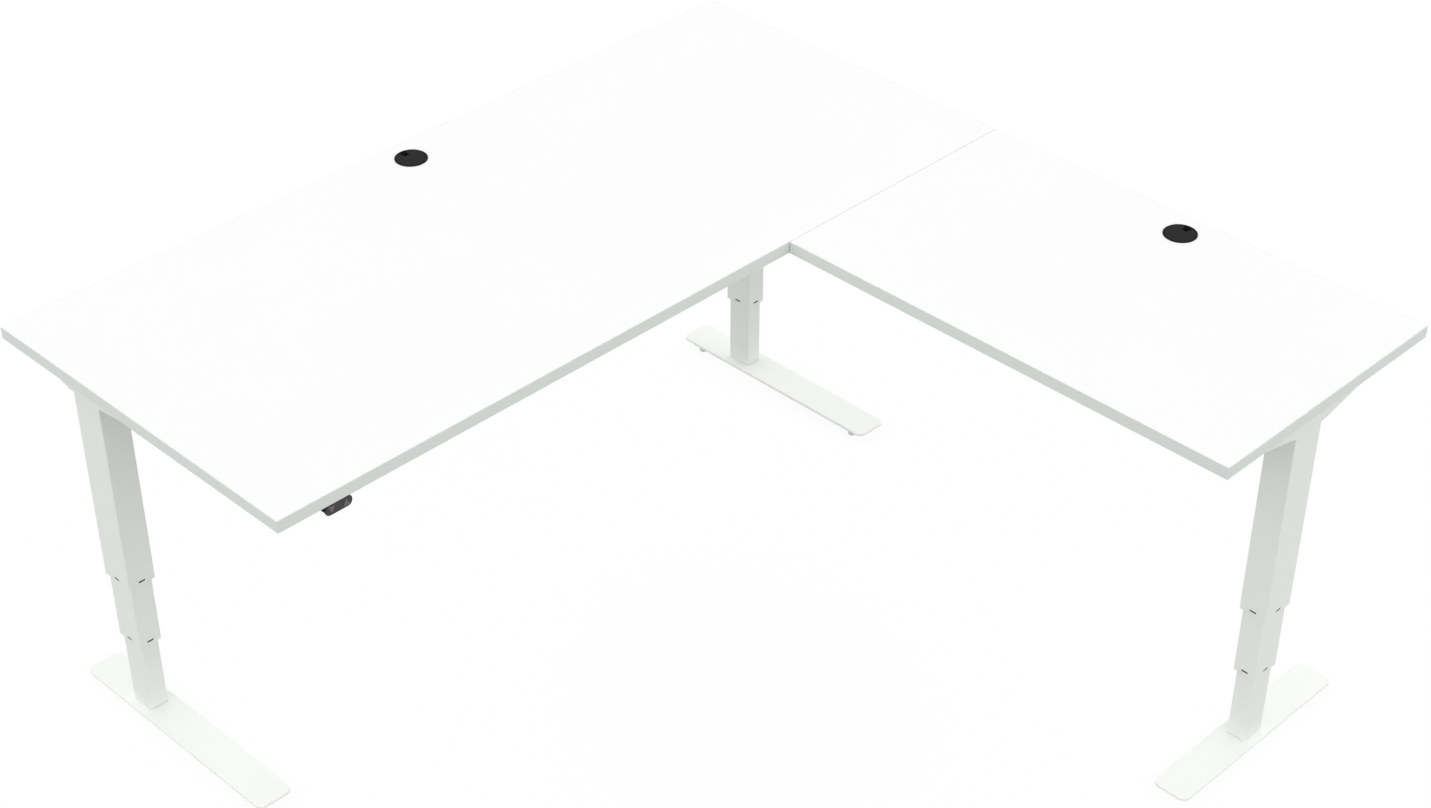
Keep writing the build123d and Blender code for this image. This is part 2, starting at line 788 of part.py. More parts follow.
def end_plate(plane, height, neck):
    """Plate across the ends of a pair of rails, with bolt holes and a hole for a motor's neck."""
    with BuildSketch(plane) as outline:
        with Locations((0, underside - height / 2)):
            Rectangle(end_plate_width, height)
        with Locations(*bolt_places):
            Circle(bolt_diameter / 2 + hole_clearance, mode=Mode.SUBTRACT)
        if neck:
            with Locations((0, motor_axis_z)):
                Circle(motor_neck_diameter / 2 + hole_clearance, mode=Mode.SUBTRACT)
    extrude(outline.sketch, amount=plate_thickness)


with BuildPart() as rail_end_plates:
    for leg in legs:
        end_plate(leg.inner_plane(arm_outer / 2), end_plate_drop, neck=True)
    end_plate(tee_plane, end_plate_drop, neck=False)
save(rail_end_plates, "rail_end_plates")


with BuildPart() as frame_bolts:
    for leg in legs:
        bolt_length = arm_sheet + plate_thickness + bolt_nut_height + bolt_end
        for place in bolt_places:
            head_start = leg.inner_plane(arm_inner / 2 - bolt_head_height)
            hexagon(head_start, place, bolt_head_flats, bolt_head_height)
            rod(leg.inner_plane(arm_inner / 2), bolt_diameter, bolt_length, place)
            hexagon(leg.inner_plane(rail_start), place, bolt_head_flats, bolt_nut_height)
        # Countersunk screws hold each gear housing up against its arm.
        for place in head_screw_places:
            head_face = leg.plane_down(underside)
            countersunk(head_face, place, head_screw_head, head_screw_diameter, head_screw_length)
            hexagon(head_face, place, head_screw_socket, head_socket_depth, Mode.SUBTRACT)
    for place in bolt_places:
        head_plane = tee_plane.offset(plate_thickness)
        hexagon(head_plane, place, bolt_head_flats, bolt_head_height)
        rod(head_plane, bolt_diameter, -(plate_thickness + rail_wall + bolt_nut_height), place)
save(frame_bolts, "frame_bolts")

with BuildPart() as joining_plates:
    for x in joining_plate_xs:
        with BuildSketch(Plane.XY.offset(underside - plate_thickness)):
            with Locations((x, seam_y)):
                RectangleRounded(joining_plate_width, joining_plate_length, plate_corner)
        extrude(amount=plate_thickness)
    for x, y in joining_screws:
        sheet_hole(x, y, plate_thickness)
save(joining_plates, "joining_plates")

with BuildPart() as top_screws:
    for (x, y), sheet in main_board_screws + extension_board_screws:
        wood_screw(x, y, underside - sheet)
save(top_screws, "top_screws")


# ---------------------------------------------------------------- feet
for leg in legs:
    foot_length = leg.front_reach + leg.rear_reach
    foot_middle = (leg.front_reach - leg.rear_reach) / 2
    below = Plane(origin=(leg.x, leg.y, floor_gap), x_dir=leg.along, z_dir=up)
    with BuildPart() as foot_plate:
        with BuildSketch(below):
            with Locations((foot_middle, 0)):
                RectangleRounded(foot_length, foot_width, foot_corner)
        extrude(amount=foot_thickness)
        chamfer(foot_plate.edges().group_by(Axis.Z)[-1], foot_edge)
        for u in (-foot_screw_spread, foot_screw_spread):
            countersunk(
                below, (u, 0), foot_screw_head, foot_screw_diameter, foot_thickness,
                hole_clearance, Mode.SUBTRACT,
            )
        stud_hole = leveller_stud + 2 * hole_clearance
        for name, u, v in leg.levellers():
            rod(below, stud_hole, foot_thickness - leveller_skin, (u, v), Mode.SUBTRACT)
    save(foot_plate, f"{leg.name}_foot_plate")

# A strip welded under the frame's side of each plate, with a nut welded on for each levelling foot.
with BuildPart() as foot_stiffeners:
    for leg in legs:
        front = leg.front_reach - leg.front_stiffener_gap
        rear = leg.rear_reach - leg.rear_stiffener_gap
        across = leg.inner_side * (foot_width / 2 - stiffener_inset - stiffener_width / 2)
        with BuildSketch(leg.plane(stiffener_bottom)) as strip:
            with Locations(((front - rear) / 2, across)):
                Rectangle(front + rear, stiffener_width)
        extrude(strip.sketch, amount=stiffener_thickness)
        for name, u, v in leg.levellers():
            upright_rod(leg, boss_diameter, boss_bottom, stiffener_bottom, (u, v))
            stud_hole = leveller_stud + 2 * hole_clearance
            upright_rod(leg, stud_hole, boss_bottom, floor_gap, (u, v), Mode.SUBTRACT)
save(foot_stiffeners, "foot_stiffeners")

# Each inner tube's rim stands on the thin flange of its base block, which leaves a fine gap round it.
with BuildPart() as tube_base_blocks:
    for leg in legs:
        prism(leg, inner_section.inset(base_flange_inset), foot_top, inner_bottom)
        prism(leg, inner_section.inset(tube_wall + base_block_fit), foot_top, block_top)
        for u in (-foot_screw_spread, foot_screw_spread):
            hole = foot_screw_diameter + 2 * hole_clearance
            upright_rod(leg, hole, foot_top, block_top, (u, 0), Mode.SUBTRACT)
save(tube_base_blocks, "tube_base_blocks")

with BuildPart() as foot_screws:
    for leg in legs:
        for u in (-foot_screw_spread, foot_screw_spread):
            head_face = leg.plane(floor_gap)
            countersunk(head_face, (u, 0), foot_screw_head, foot_screw_diameter, foot_screw_length)
            hexagon(head_face, (u, 0), foot_screw_socket, foot_socket_depth, Mode.SUBTRACT)
save(foot_screws, "foot_screws")

for leg in legs:
    for name, u, v in leg.levellers():
        with BuildPart() as leveller:
            upright_rod(leg, leveller_diameter, 0, leveller_height, (u, v))
            chamfer(leveller.edges().group_by(Axis.Z)[0], leveller_edge)
            stud_top = foot_top - leveller_skin - leveller_end_gap
            upright_rod(leg, leveller_stud, leveller_height, stud_top, (u, v))
        save(leveller, f"{leg.name}_{name}_leveller")


# ---------------------------------------------------------------- handset
def handset_plane(depth):
    """Upright plane parallel to the handset's face, this far behind it, x to the right and y up."""
    origin = (handset_x, handset_face_y + depth, handset_z)
    return Plane(origin=origin, x_dir=(1, 0, 0), z_dir=(0, -1, 0))


def arrow(plane, across, points_up, margin=0.0):
    """Outline of a button's arrow, its middle this far to the right of the handset's, grown by a
    margin."""
    tip = button_height / 2 if points_up else -button_height / 2
    with BuildSketch(plane) as outline:
        Polygon(
            (across - button_width / 2, -tip), (across + button_width / 2, -tip), (across, tip),
            align=None,
        )
        fillet(outline.vertices(), button_corner)
        if margin:
            offset(amount=margin)
    return outline.sketch


buttons = (("down_button", -button_spread, False), ("up_button", button_spread, True))
body_length = handset_length - 2 * handset_lip
body_height = handset_height - 2 * handset_lip
cavity_length = body_length - 2 * handset_wall
cavity_height = body_height - 2 * handset_wall
stem_end = handset_front + button_flange_depth + button_stem_length
switch_front = stem_end + button_travel
handset_board_front = switch_front + switch_plunger_height + switch_height

# The face stands a little proud of the body all round; ears behind it take the screws into the top.
with BuildPart() as handset_housing:
    with BuildSketch(handset_plane(0)):
        SlotOverall(handset_length, handset_height)
    extrude(amount=-handset_front)
    chamfer(handset_housing.edges().group_by(Axis.Y)[0], handset_bevel)
    with BuildSketch(handset_plane(handset_front)):
        SlotOverall(body_length, body_height)
    extrude(amount=-(handset_depth - handset_cover - handset_front))
    with BuildSketch(Plane.XY.offset(underside - ear_thickness)):
        with Locations((handset_x, ear_centre_y)):
            RectangleRounded(handset_length + 2 * ear_reach, ear_depth, ear_thickness)
        with Locations(*handset_screws):
            Circle(wood_screw_diameter / 2 + hole_clearance, mode=Mode.SUBTRACT)
    extrude(amount=ear_thickness)
    with BuildSketch(handset_plane(handset_front)):
        SlotOverall(cavity_length, cavity_height)
    extrude(amount=-handset_depth, mode=Mode.SUBTRACT)
    for name, across, points_up in buttons:
        opening = arrow(handset_plane(0), across, points_up, button_gap)
        extrude(opening, amount=-handset_front, mode=Mode.SUBTRACT)
save(handset_housing, "handset_housing")

with BuildPart() as handset_back_cover:
    with BuildSketch(handset_plane(handset_depth)):
        SlotOverall(body_length, body_height)
        Circle(handset_gland / 2, mode=Mode.SUBTRACT)
    extrude(amount=handset_cover)
save(handset_back_cover, "handset_back_cover")

# The circuit board fills the handset's cross-section; each button's stem presses its switch.
with BuildPart() as handset_board:
    with BuildSketch(handset_plane(handset_board_front)):
        SlotOverall(cavity_length, cavity_height)
    extrude(amount=-handset_board_thickness)
    for name, across, points_up in buttons:
        with BuildSketch(handset_plane(handset_board_front)):
            with Locations((across, 0)):
                Rectangle(switch_size, switch_size)
        extrude(amount=switch_height)
        plunger_reach = switch_height + switch_plunger_height
        rod(handset_plane(handset_board_front), switch_plunger, plunger_reach, (across, 0))
save(handset_board, "handset_board")

for name, across, points_up in buttons:
    with BuildPart() as button:
        face = arrow(handset_plane(-button_proud), across, points_up)
        extrude(face, amount=-(button_proud + handset_front))
        chamfer(button.edges().group_by(Axis.Y)[0], button_bevel)
        with BuildSketch(handset_plane(handset_front)):
            add(arrow(Plane.XY, across, points_up, button_flange))
            SlotOverall(
                cavity_length - 2 * button_gap, cavity_height - 2 * button_gap, mode=Mode.INTERSECT
            )
        extrude(amount=-button_flange_depth)
        rod(handset_plane(handset_front), button_stem, -(stem_end - handset_front), (across, 0))
    save(button, name)


# ---------------------------------------------------------------- control box
with BuildPart() as control_box:
    with BuildSketch(Plane.XY.offset(underside - box_height)):
        with Locations((0, box_y)):
            RectangleRounded(box_length, box_depth, box_corner)
    extrude(amount=box_height)
    with BuildSketch(Plane.XY.offset(underside - box_ear_thickness)):
        for x, y in box_screws:
            with Locations((x * box_length / 2 / box_ear_x, y)):
                RectangleRounded(2 * box_ear_reach, box_ear_width, plate_corner)
    extrude(amount=box_ear_thickness)
    for x, y in box_screws:
        sheet_hole(x, y, box_ear_thickness)
    front_face = Plane(origin=(0, box_y - box_depth / 2, box_z), x_dir=(1, 0, 0), z_dir=(0, -1, 0))
    with BuildSketch(front_face):
        with GridLocations(socket_pitch, 0, socket_count, 1):
            Rectangle(socket_width, socket_height)
        with Locations((inlet_offset, 0)):
            Rectangle(inlet_width, inlet_height)
    extrude(amount=-socket_depth, mode=Mode.SUBTRACT)
save(control_box, "control_box")
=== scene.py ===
"""Dresses the corner desk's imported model: the room and camera, then each piece from the floor up."""
import math

import bmesh
import bpy
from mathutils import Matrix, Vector


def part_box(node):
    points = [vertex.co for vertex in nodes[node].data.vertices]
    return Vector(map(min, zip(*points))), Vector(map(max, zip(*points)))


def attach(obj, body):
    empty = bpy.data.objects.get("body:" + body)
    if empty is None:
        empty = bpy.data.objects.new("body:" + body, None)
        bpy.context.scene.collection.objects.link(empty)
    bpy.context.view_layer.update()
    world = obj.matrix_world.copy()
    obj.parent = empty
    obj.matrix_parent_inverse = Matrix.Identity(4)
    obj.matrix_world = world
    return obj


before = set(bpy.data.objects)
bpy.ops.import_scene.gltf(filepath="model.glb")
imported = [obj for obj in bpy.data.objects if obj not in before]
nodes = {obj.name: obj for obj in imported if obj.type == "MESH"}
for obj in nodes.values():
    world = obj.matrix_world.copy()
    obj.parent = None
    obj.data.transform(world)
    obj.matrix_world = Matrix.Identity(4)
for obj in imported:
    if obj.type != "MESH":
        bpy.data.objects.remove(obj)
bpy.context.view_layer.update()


# ---------------------------------------------------------------- room and camera
# A bare studio: a soft white dome of light, brightest half way up, over a large pale floor sheet,
# which goes on to the horizon as white and keeps a faint shadow under the desk.
class Wire:
    """A shader output that can stand in a sum; each operator adds its own Math node."""

    def __init__(self, plan, socket):
        self.plan = plan
        self.socket = socket

    def __add__(self, other):
        return self.plan.math("ADD", self, other)

    def __sub__(self, other):
        return self.plan.math("SUBTRACT", self, other)

    def __rsub__(self, other):
        return self.plan.math("SUBTRACT", other, self)

    def __mul__(self, other):
        return self.plan.math("MULTIPLY", self, other)

    def __truediv__(self, other):
        return self.plan.math("DIVIDE", self, other)

    def __gt__(self, other):
        return self.plan.math("GREATER_THAN", self, other)

    def __lt__(self, other):
        return self.plan.math("LESS_THAN", self, other)

    def __abs__(self):
        return self.plan.math("ABSOLUTE", self)

    __radd__ = __add__
    __rmul__ = __mul__


class Plan:
    """A node tree. node() adds any node: its type, its settings, then what its sockets take."""

    # A Mix node's colour sockets share their names with its other kinds, so they go by number.
    MIX_FACTOR = 0
    MIX_LOW = 6
    MIX_HIGH = 7
    MIX_RESULT = 2

    def __init__(self, owner):
        owner.use_nodes = True
        self.tree = owner.node_tree
        self.tree.nodes.clear()

    def node(self, kind, settings=None, sockets=None, output=0):
        made = self.tree.nodes.new(kind)
        for name, value in (settings or {}).items():
            setattr(made, name, value)
        for name, value in (sockets or {}).items():
            if isinstance(value, Wire):
                self.tree.links.new(value.socket, made.inputs[name])
            else:
                made.inputs[name].default_value = value
        return Wire(self, made.outputs[output] if made.outputs else None)

    def math(self, operation, first, second=0.0):
        return self.node("ShaderNodeMath", {"operation": operation}, {0: first, 1: second})

    def blend(self, mask, low, high):
        """Colour that runs from low to high as the mask goes from 0 to 1."""
        sockets = {self.MIX_FACTOR: mask, self.MIX_LOW: low, self.MIX_HIGH: high}
        return self.node("ShaderNodeMix", {"data_type": "RGBA"}, sockets, self.MIX_RESULT)

    def ramp(self, value, start, end):
        """0 below the start of a value and 1 above its end, soft between them."""
        sockets = {"Value": value, "From Min": start, "From Max": end}
        return self.node("ShaderNodeMapRange", {"interpolation_type": "SMOOTHSTEP"}, sockets)

    def looked_at(self):
        """1 for a ray from the camera, a gloss or a clear piece, and 0 for one that only gathers light."""
        camera, gloss, clear = [
            self.node("ShaderNodeLightPath", output=f"Is {kind} Ray")
            for kind in ("Camera", "Glossy", "Transmission")
        ]
        return self.math("MAXIMUM", camera, self.math("MAXIMUM", gloss, clear))


def opaque(red, green, blue):
    return (red, green, blue, 1.0)


# The ring of light rises and falls between these heights, each the sine of an angle above the floor.
RING_RISE = (0.0, 0.5)
RING_FALL = (0.76, 0.96)
HORIZON_LIGHT = 0.70
RING_LIGHT = 1.50
OVERHEAD_LIGHT = 0.18
WHITE = opaque(1.0, 1.0, 1.0)

world = bpy.data.worlds.new("white_dome")
bpy.context.scene.world = world
dome = Plan(world)
direction = dome.node("ShaderNodeTexCoord", output="Generated")
height = dome.node("ShaderNodeSeparateXYZ", sockets={0: direction}, output="Z")
glow = HORIZON_LIGHT + (RING_LIGHT - HORIZON_LIGHT) * dome.ramp(height, *RING_RISE)
glow = glow + (OVERHEAD_LIGHT - RING_LIGHT) * dome.ramp(height, *RING_FALL)
background = dome.looked_at()
strength = glow * (1 - background) + background
light = dome.node("ShaderNodeBackground", sockets={"Color": WHITE, "Strength": strength})
dome.node("ShaderNodeOutputWorld", sockets={"Surface": light})

FLOOR_REACH = 14.0
FLOOR_DROP = 0.0005
FLOOR_RETURN = opaque(0.455, 0.465, 0.455)
FLOOR_SHADOW_SHARE = 0.08

bpy.ops.mesh.primitive_plane_add(size=2 * FLOOR_REACH, location=(0, 0, -FLOOR_DROP))
floor = bpy.context.object
floor.name = "studio_floor"
floor_material = bpy.data.materials.new("floor_paper")
paper = Plan(floor_material)
paper_colour = paper.blend(paper.looked_at(), FLOOR_RETURN, WHITE)
lit = paper.node("ShaderNodeBsdfDiffuse", sockets={"Color": paper_colour})
even = paper.node("ShaderNodeEmission", sockets={"Color": paper_colour, "Strength": 1.0})
sheet = paper.node("ShaderNodeMixShader", sockets={0: FLOOR_SHADOW_SHARE, 1: even, 2: lit})
paper.node("ShaderNodeOutputMaterial", sockets={"Surface": sheet})
floor.data.materials.append(floor_material)

CAMERA_PLACE = (-2.7621, -2.7289, 3.4289)
CAMERA_ELEVATION = 36.92
CAMERA_AZIMUTH = -45.08
CAMERA_LENS = 65.82
CAMERA_SENSOR = 36.0
CAMERA_SHIFT = (0.0078, 0.0472)
CAMERA_REACH = 100.0

camera_data = bpy.data.cameras.new("studio_camera")
camera_data.sensor_width = CAMERA_SENSOR
camera_data.lens = CAMERA_LENS
camera_data.shift_x, camera_data.shift_y = CAMERA_SHIFT
camera_data.clip_end = CAMERA_REACH
camera = bpy.data.objects.new("studio_camera", camera_data)
camera.location = CAMERA_PLACE
camera.rotation_euler = (math.radians(90 - CAMERA_ELEVATION), 0, math.radians(CAMERA_AZIMUTH))
bpy.context.scene.collection.objects.link(camera)
bpy.context.scene.camera = camera
bpy.context.scene.view_settings.view_transform = "Standard"


# ---------------------------------------------------------------- foot plates
# Flat steel plates, one under each column, laser cut with round corners and powder coated white.
# The plates wear a whiter copy of the frame's powder coat, painted light for the stronger light on these
# broad flat faces; the coat has the orange peel of sprayed powder.
class Finish(Plan):
    """A material with one Principled shader, to which its own pattern of colour and relief is added."""

    def __init__(self, name):
        self.material = bpy.data.materials.new(name)
        super().__init__(self.material)
        self.place = self.node("ShaderNodeTexCoord", output="Object")

    def along(self, axis):
        """The place on the object along X, Y or Z, in metres."""
        return self.node("ShaderNodeSeparateXYZ", sockets={0: self.place}, output=axis)

    def noise(self, scale, detail=2.0, place=None):
        """Even noise about 0.5, with so many swells to a metre."""
        sockets = {"Vector": place or self.place, "Scale": scale, "Detail": detail}
        return self.node("ShaderNodeTexNoise", sockets=sockets)

    def stretched(self, x, y, z):
        """The place on the object, scaled along each axis by its own share."""
        sockets = {0: self.place, 1: (x, y, z)}
        return self.node("ShaderNodeVectorMath", {"operation": "MULTIPLY"}, sockets)

    def relief(self, height, depth):
        sockets = {"Height": height, "Distance": depth, "Strength": 1.0}
        return self.node("ShaderNodeBump", sockets=sockets)

    def shade(self, **sockets):
        """Ends the material: each value or link goes to the shader's socket of that name."""
        named = {name.replace("_", " "): value for name, value in sockets.items()}
        shader = self.node("ShaderNodeBsdfPrincipled", sockets=named)
        self.node("ShaderNodeOutputMaterial", sockets={"Surface": shader})
        return self.material


def dress(material, *names):
    """Gives CAD nodes a material in every slot that their objects have."""
    for name in names:
        for holder in nodes[name].material_slots:
            holder.material = material


COAT_PATCHES = 5.0
COAT_SPRAY = 60.0
COAT_PEEL = 420.0
COAT_SPECKS = 1500.0
SPECK_RANGE = (0.72, 0.80)
SPECK_HEIGHT = 0.4
COAT_ROUGHNESS = 0.36
SPRAY_ROUGHNESS = 0.10
PATCH_ROUGHNESS = 0.05
COAT_DEPTH = 0.00014


def powder_coat(name, clean, dusty):
    coat = Finish(name)
    patches = coat.noise(COAT_PATCHES)
    peel = coat.noise(COAT_PEEL, detail=3.0)
    specks = coat.ramp(coat.noise(COAT_SPECKS, detail=0.0), *SPECK_RANGE)
    return coat.shade(
        Base_Color=coat.blend(patches, dusty, clean),
        Roughness=COAT_ROUGHNESS + SPRAY_ROUGHNESS * coat.noise(COAT_SPRAY) + PATCH_ROUGHNESS * patches,
        Normal=coat.relief(peel + SPECK_HEIGHT * specks, COAT_DEPTH),
    )


LEGS = ("left", "corner", "extension")

# Painted light: the same white powder coat as the frame, made whiter here to stand in for the light that
# falls on the plates.
painted_light_plate_coat = powder_coat(
    "plate_powder_coat", clean=opaque(0.958, 0.973, 0.952), dusty=opaque(0.948, 0.963, 0.942)
)
dress(painted_light_plate_coat, *[f"{leg}_foot_plate" for leg in LEGS])


# ---------------------------------------------------------------- stiffeners and levelling feet
# A strip under the frame's side of each plate is stitch welded along its inner edge, and a nut is
# welded on all round for each levelling foot: a pale moulded glide on a zinc plated stud.
UP = Vector((0, 0, 1))
BEAD_FACETS = 4
BEAD_SINK = 0.0002
BEAD_HOLLOW = 0.20
BEAD_RIPPLE = 0.14
BEAD_PITCH = 0.0022
BEAD_START = 0.35
PLACES_PER_RIPPLE = 4


def box_corners(node):
    """The low and the high corner of a node's box."""
    return [Vector(corner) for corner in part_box(node)]


def bead_across(corner, out, back, size):
    """Points across a fillet weld: out and back run along the two faces that meet at the corner."""
    sunk = corner - (out + back) * BEAD_SINK
    points = [sunk]
    for step in range(BEAD_FACETS + 1):
        turn = math.pi / 2 * step / BEAD_FACETS
        crown = 1 - BEAD_HOLLOW * math.sin(2 * turn)
        points.append(sunk + (out * math.cos(turn) + back * math.sin(turn)) * size * crown)
    return points


def skin(mesh, loops, closed):
    """Faces from each loop of corners to the next, and over both ends of a run that isn't closed."""
    pairs = list(zip(loops, loops[1:])) + ([(loops[-1], loops[0])] if closed else [])
    for near, far in pairs:
        for here in range(len(near)):
            there = (here + 1) % len(near)
            mesh.faces.new((near[here], near[there], far[there], far[here]))
    if not closed:
        mesh.faces.new(reversed(loops[0]))
        mesh.faces.new(loops[-1])


def add_bead(mesh, places, size, closed):
    """Adds a rippled weld bead that follows places, each a corner with its out and back directions."""
    loops = []
    run = 0.0
    total = sum((far[0] - near[0]).length for near, far in zip(places, places[1:]))
    for index, (corner, out, back) in enumerate(places):
        run += (corner - places[index - 1][0]).length if index else 0.0
        ripple = 1 - BEAD_RIPPLE * abs(math.cos(math.pi * run / BEAD_PITCH))
        taper = 1.0 if closed else min(1.0, BEAD_START + min(run, total - run) / size)
        across = bead_across(corner, out, back, size * ripple * taper)
        loops.append([mesh.verts.new(point) for point in across])
    skin(mesh, loops, closed)


def straight_run(start, end, out, back):
    """Places along a straight corner, for a bead that starts and ends there."""
    count = round((end - start).length / BEAD_PITCH * PLACES_PER_RIPPLE)
    return [(start.lerp(end, step / count), out, back) for step in range(count + 1)]


def round_run(centre, radius, back):
    """Places round a standing cylinder's foot, for a bead that closes on itself."""
    count = round(2 * math.pi * radius / BEAD_PITCH) * PLACES_PER_RIPPLE
    places = []
    for step in range(count):
        turn = 2 * math.pi * step / count
        out = Vector((math.cos(turn), math.sin(turn), 0))
        places.append((centre + out * radius, out, back))
    return places


def piece(name, mesh, material, body):
    """Makes a finished mesh into a piece that rides on a body and takes the material it is given."""
    bmesh.ops.recalc_face_normals(mesh, faces=mesh.faces)
    for face in mesh.faces:
        face.smooth = True
    data = bpy.data.meshes.new(name)
    mesh.to_mesh(data)
    mesh.free()
    made = bpy.data.objects.new(name, data)
    bpy.context.scene.collection.objects.link(made)
    made.data.materials.append(material)
    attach(made, body)


STIFFENER_WIDTH = 0.028
STIFFENER_THICKNESS = 0.003
STIFFENER_INSET = 0.002
STITCH_LENGTH = 0.030
STITCH_SIZE = 0.0022
STITCH_PLACES = (0.16, 0.34, 0.66, 0.84)
NUT_RADIUS = 0.008
NUT_SIZE = 0.0016

LEVELLERS = [node for node in nodes if node.endswith("_leveller")]
INWARD = {"left": Vector((1, 0, 0)), "corner": Vector((-1, 0, 0)), "extension": Vector((0, 1, 0))}


def sideways(inward):
    """The level direction along a foot plate, square to the way inward."""
    return Vector((abs(inward.y), abs(inward.x), 0))


white_coat = powder_coat(
    "white_powder_coat", clean=opaque(0.858, 0.872, 0.852), dusty=opaque(0.838, 0.853, 0.833)
)
dress(white_coat, "foot_stiffeners")
strip_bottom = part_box("left_foot_plate")[0][2] - STIFFENER_THICKNESS
welds = bmesh.new()
for leg in LEGS:
    low, high = box_corners(f"{leg}_foot_plate")
    inward = INWARD[leg]
    run = sideways(inward)
    middle = (low + high) / 2
    middle.z = low.z
    half_width = abs((high - low).dot(inward)) / 2
    length = (high - low).dot(run)
    edge = middle + inward * (half_width - STIFFENER_INSET - STIFFENER_WIDTH)
    for share in STITCH_PLACES:
        centre = edge + run * length * (share - 0.5)
        half = run * STITCH_LENGTH / 2
        add_bead(welds, straight_run(centre - half, centre + half, -inward, -UP), STITCH_SIZE, False)
for node in LEVELLERS:
    low, high = box_corners(node)
    axis = (low + high) / 2
    axis.z = strip_bottom
    add_bead(welds, round_run(axis, NUT_RADIUS, -UP), NUT_SIZE, True)
piece("foot_weld_beads", welds, white_coat, "base")

GLIDE_HEIGHT = 0.0057
GLIDE_CLOUDS = 90.0
GLIDE_GRAIN = 700.0
GLIDE_ROUGHNESS = 0.46
GLIDE_GRAIN_ROUGHNESS = 0.10
STUD_SMOOTHNESS = 0.15
GLIDE_DEPTH = 0.00005
GLIDE_WHITES = (opaque(0.70, 0.71, 0.70), opaque(0.78, 0.79, 0.78))
STUD_ZINC = opaque(0.60, 0.60, 0.58)

glide = Finish("leveller_plastic")
stud = glide.along("Z") > GLIDE_HEIGHT
glide_grain = glide.noise(GLIDE_GRAIN, detail=4.0)
glide_white = glide.blend(glide.noise(GLIDE_CLOUDS), *GLIDE_WHITES)
leveller_plastic = glide.shade(
    Base_Color=glide.blend(stud, glide_white, STUD_ZINC),
    Metallic=stud,
    Roughness=GLIDE_ROUGHNESS + GLIDE_GRAIN_ROUGHNESS * glide_grain - STUD_SMOOTHNESS * stud,
    Normal=glide.relief(glide_grain, GLIDE_DEPTH),
)
dress(leveller_plastic, *LEVELLERS)


# ---------------------------------------------------------------- tubes
# Three steel box tubes to a column, the thickest on top, powder coated white. Black moulded glides
# show through slots near the lower rims, and each inner tube stands on a black coated steel block.
SHEEN_SCALE = 35.0
SHEEN_GAIN = 1.25
SHEEN_LIFT = 0.002
SHEEN_ROUGHNESS = 0.12
GRAIN_ROUGHNESS = 0.08


def moulding(name, colour, roughness, grain_scale, grain_depth, gloss=0.15):
    """A moulded plastic, a little paler and duller where hands and dust have been."""
    plastic = Finish(name)
    grain = plastic.noise(grain_scale, detail=4.0)
    sheen = plastic.noise(SHEEN_SCALE)
    paler = opaque(*[part * SHEEN_GAIN + SHEEN_LIFT for part in colour])
    return plastic.shade(
        Base_Color=plastic.blend(sheen, opaque(*colour), paler),
        Roughness=roughness + SHEEN_ROUGHNESS * sheen + GRAIN_ROUGHNESS * grain,
        Specular_IOR_Level=gloss,
        Normal=plastic.relief(grain, grain_depth),
    )


dress(white_coat, *[f"{leg}_{stage}_tube" for leg in LEGS for stage in ("inner", "middle", "outer")])
glide_plastic = moulding(
    "black_glide_plastic", (0.014, 0.014, 0.015), roughness=0.35, grain_scale=900.0, grain_depth=0.00003
)
dress(glide_plastic, *[f"{leg}_middle_glides" for leg in LEGS], "outer_bushes", "inner_plugs")
block_coat = moulding(
    "black_coat", (0.02, 0.02, 0.022), roughness=0.5, grain_scale=420.0, grain_depth=0.00008
)
dress(block_coat, "tube_base_blocks")


# ---------------------------------------------------------------- lifting gear
# Rolled steel screws in bronze nuts, die cast gear cases, and zinc plated screws and plates. The
# trapezoidal threads have two starts, right hand; their crests are burnished and their roots dull.
METAL_CLOUDS = 18.0
METAL_BRUSHING = 120.0
BRUSHED_ROUGHNESS = 0.12
METAL_DEPTH = 0.00004


def metal(name, colour, tint, roughness, grain_scale):
    bare = Finish(name)
    cloud = bare.noise(METAL_CLOUDS)
    return bare.shade(
        Base_Color=bare.blend(cloud, opaque(*colour), opaque(*tint)),
        Metallic=1.0,
        Roughness=roughness + BRUSHED_ROUGHNESS * bare.noise(METAL_BRUSHING),
        Normal=bare.relief(bare.noise(grain_scale, detail=3.0), METAL_DEPTH),
    )


THREAD_PITCH = 0.005
THREAD_STARTS = 2
THREAD_DEPTH = 0.0018
THREAD_FLANK = (0.14, 0.36)
THREAD_BRUSHING = 160.0
ROOT_ROUGHNESS = 0.42
CREST_SMOOTHNESS = 0.18
THREAD_ROUGHNESS = 0.08
ROOT_STEEL = opaque(0.34, 0.34, 0.35)
CREST_STEEL = opaque(0.58, 0.58, 0.58)


def rolled_thread(node):
    """Finish for a threaded screw that stands upright: its thread winds about the node's own axis."""
    low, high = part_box(node)
    screw = Finish(f"{node}_thread")
    across = screw.along("X") - (low[0] + high[0]) / 2
    forward = screw.along("Y") - (low[1] + high[1]) / 2
    angle = screw.math("ARCTAN2", forward, across)
    turns = screw.along("Z") / THREAD_PITCH - THREAD_STARTS / (2 * math.pi) * angle
    crest = screw.ramp(abs(screw.math("FRACT", turns) - 0.5), *THREAD_FLANK)
    brushed = screw.noise(THREAD_BRUSHING)
    return screw.shade(
        Base_Color=screw.blend(crest, ROOT_STEEL, CREST_STEEL),
        Metallic=1.0,
        Roughness=ROOT_ROUGHNESS - CREST_SMOOTHNESS * crest + THREAD_ROUGHNESS * brushed,
        Normal=screw.relief(crest, THREAD_DEPTH),
    )


for leg in LEGS:
    for screw in (f"{leg}_drive_screw", f"{leg}_hollow_screw"):
        dress(rolled_thread(screw), screw)

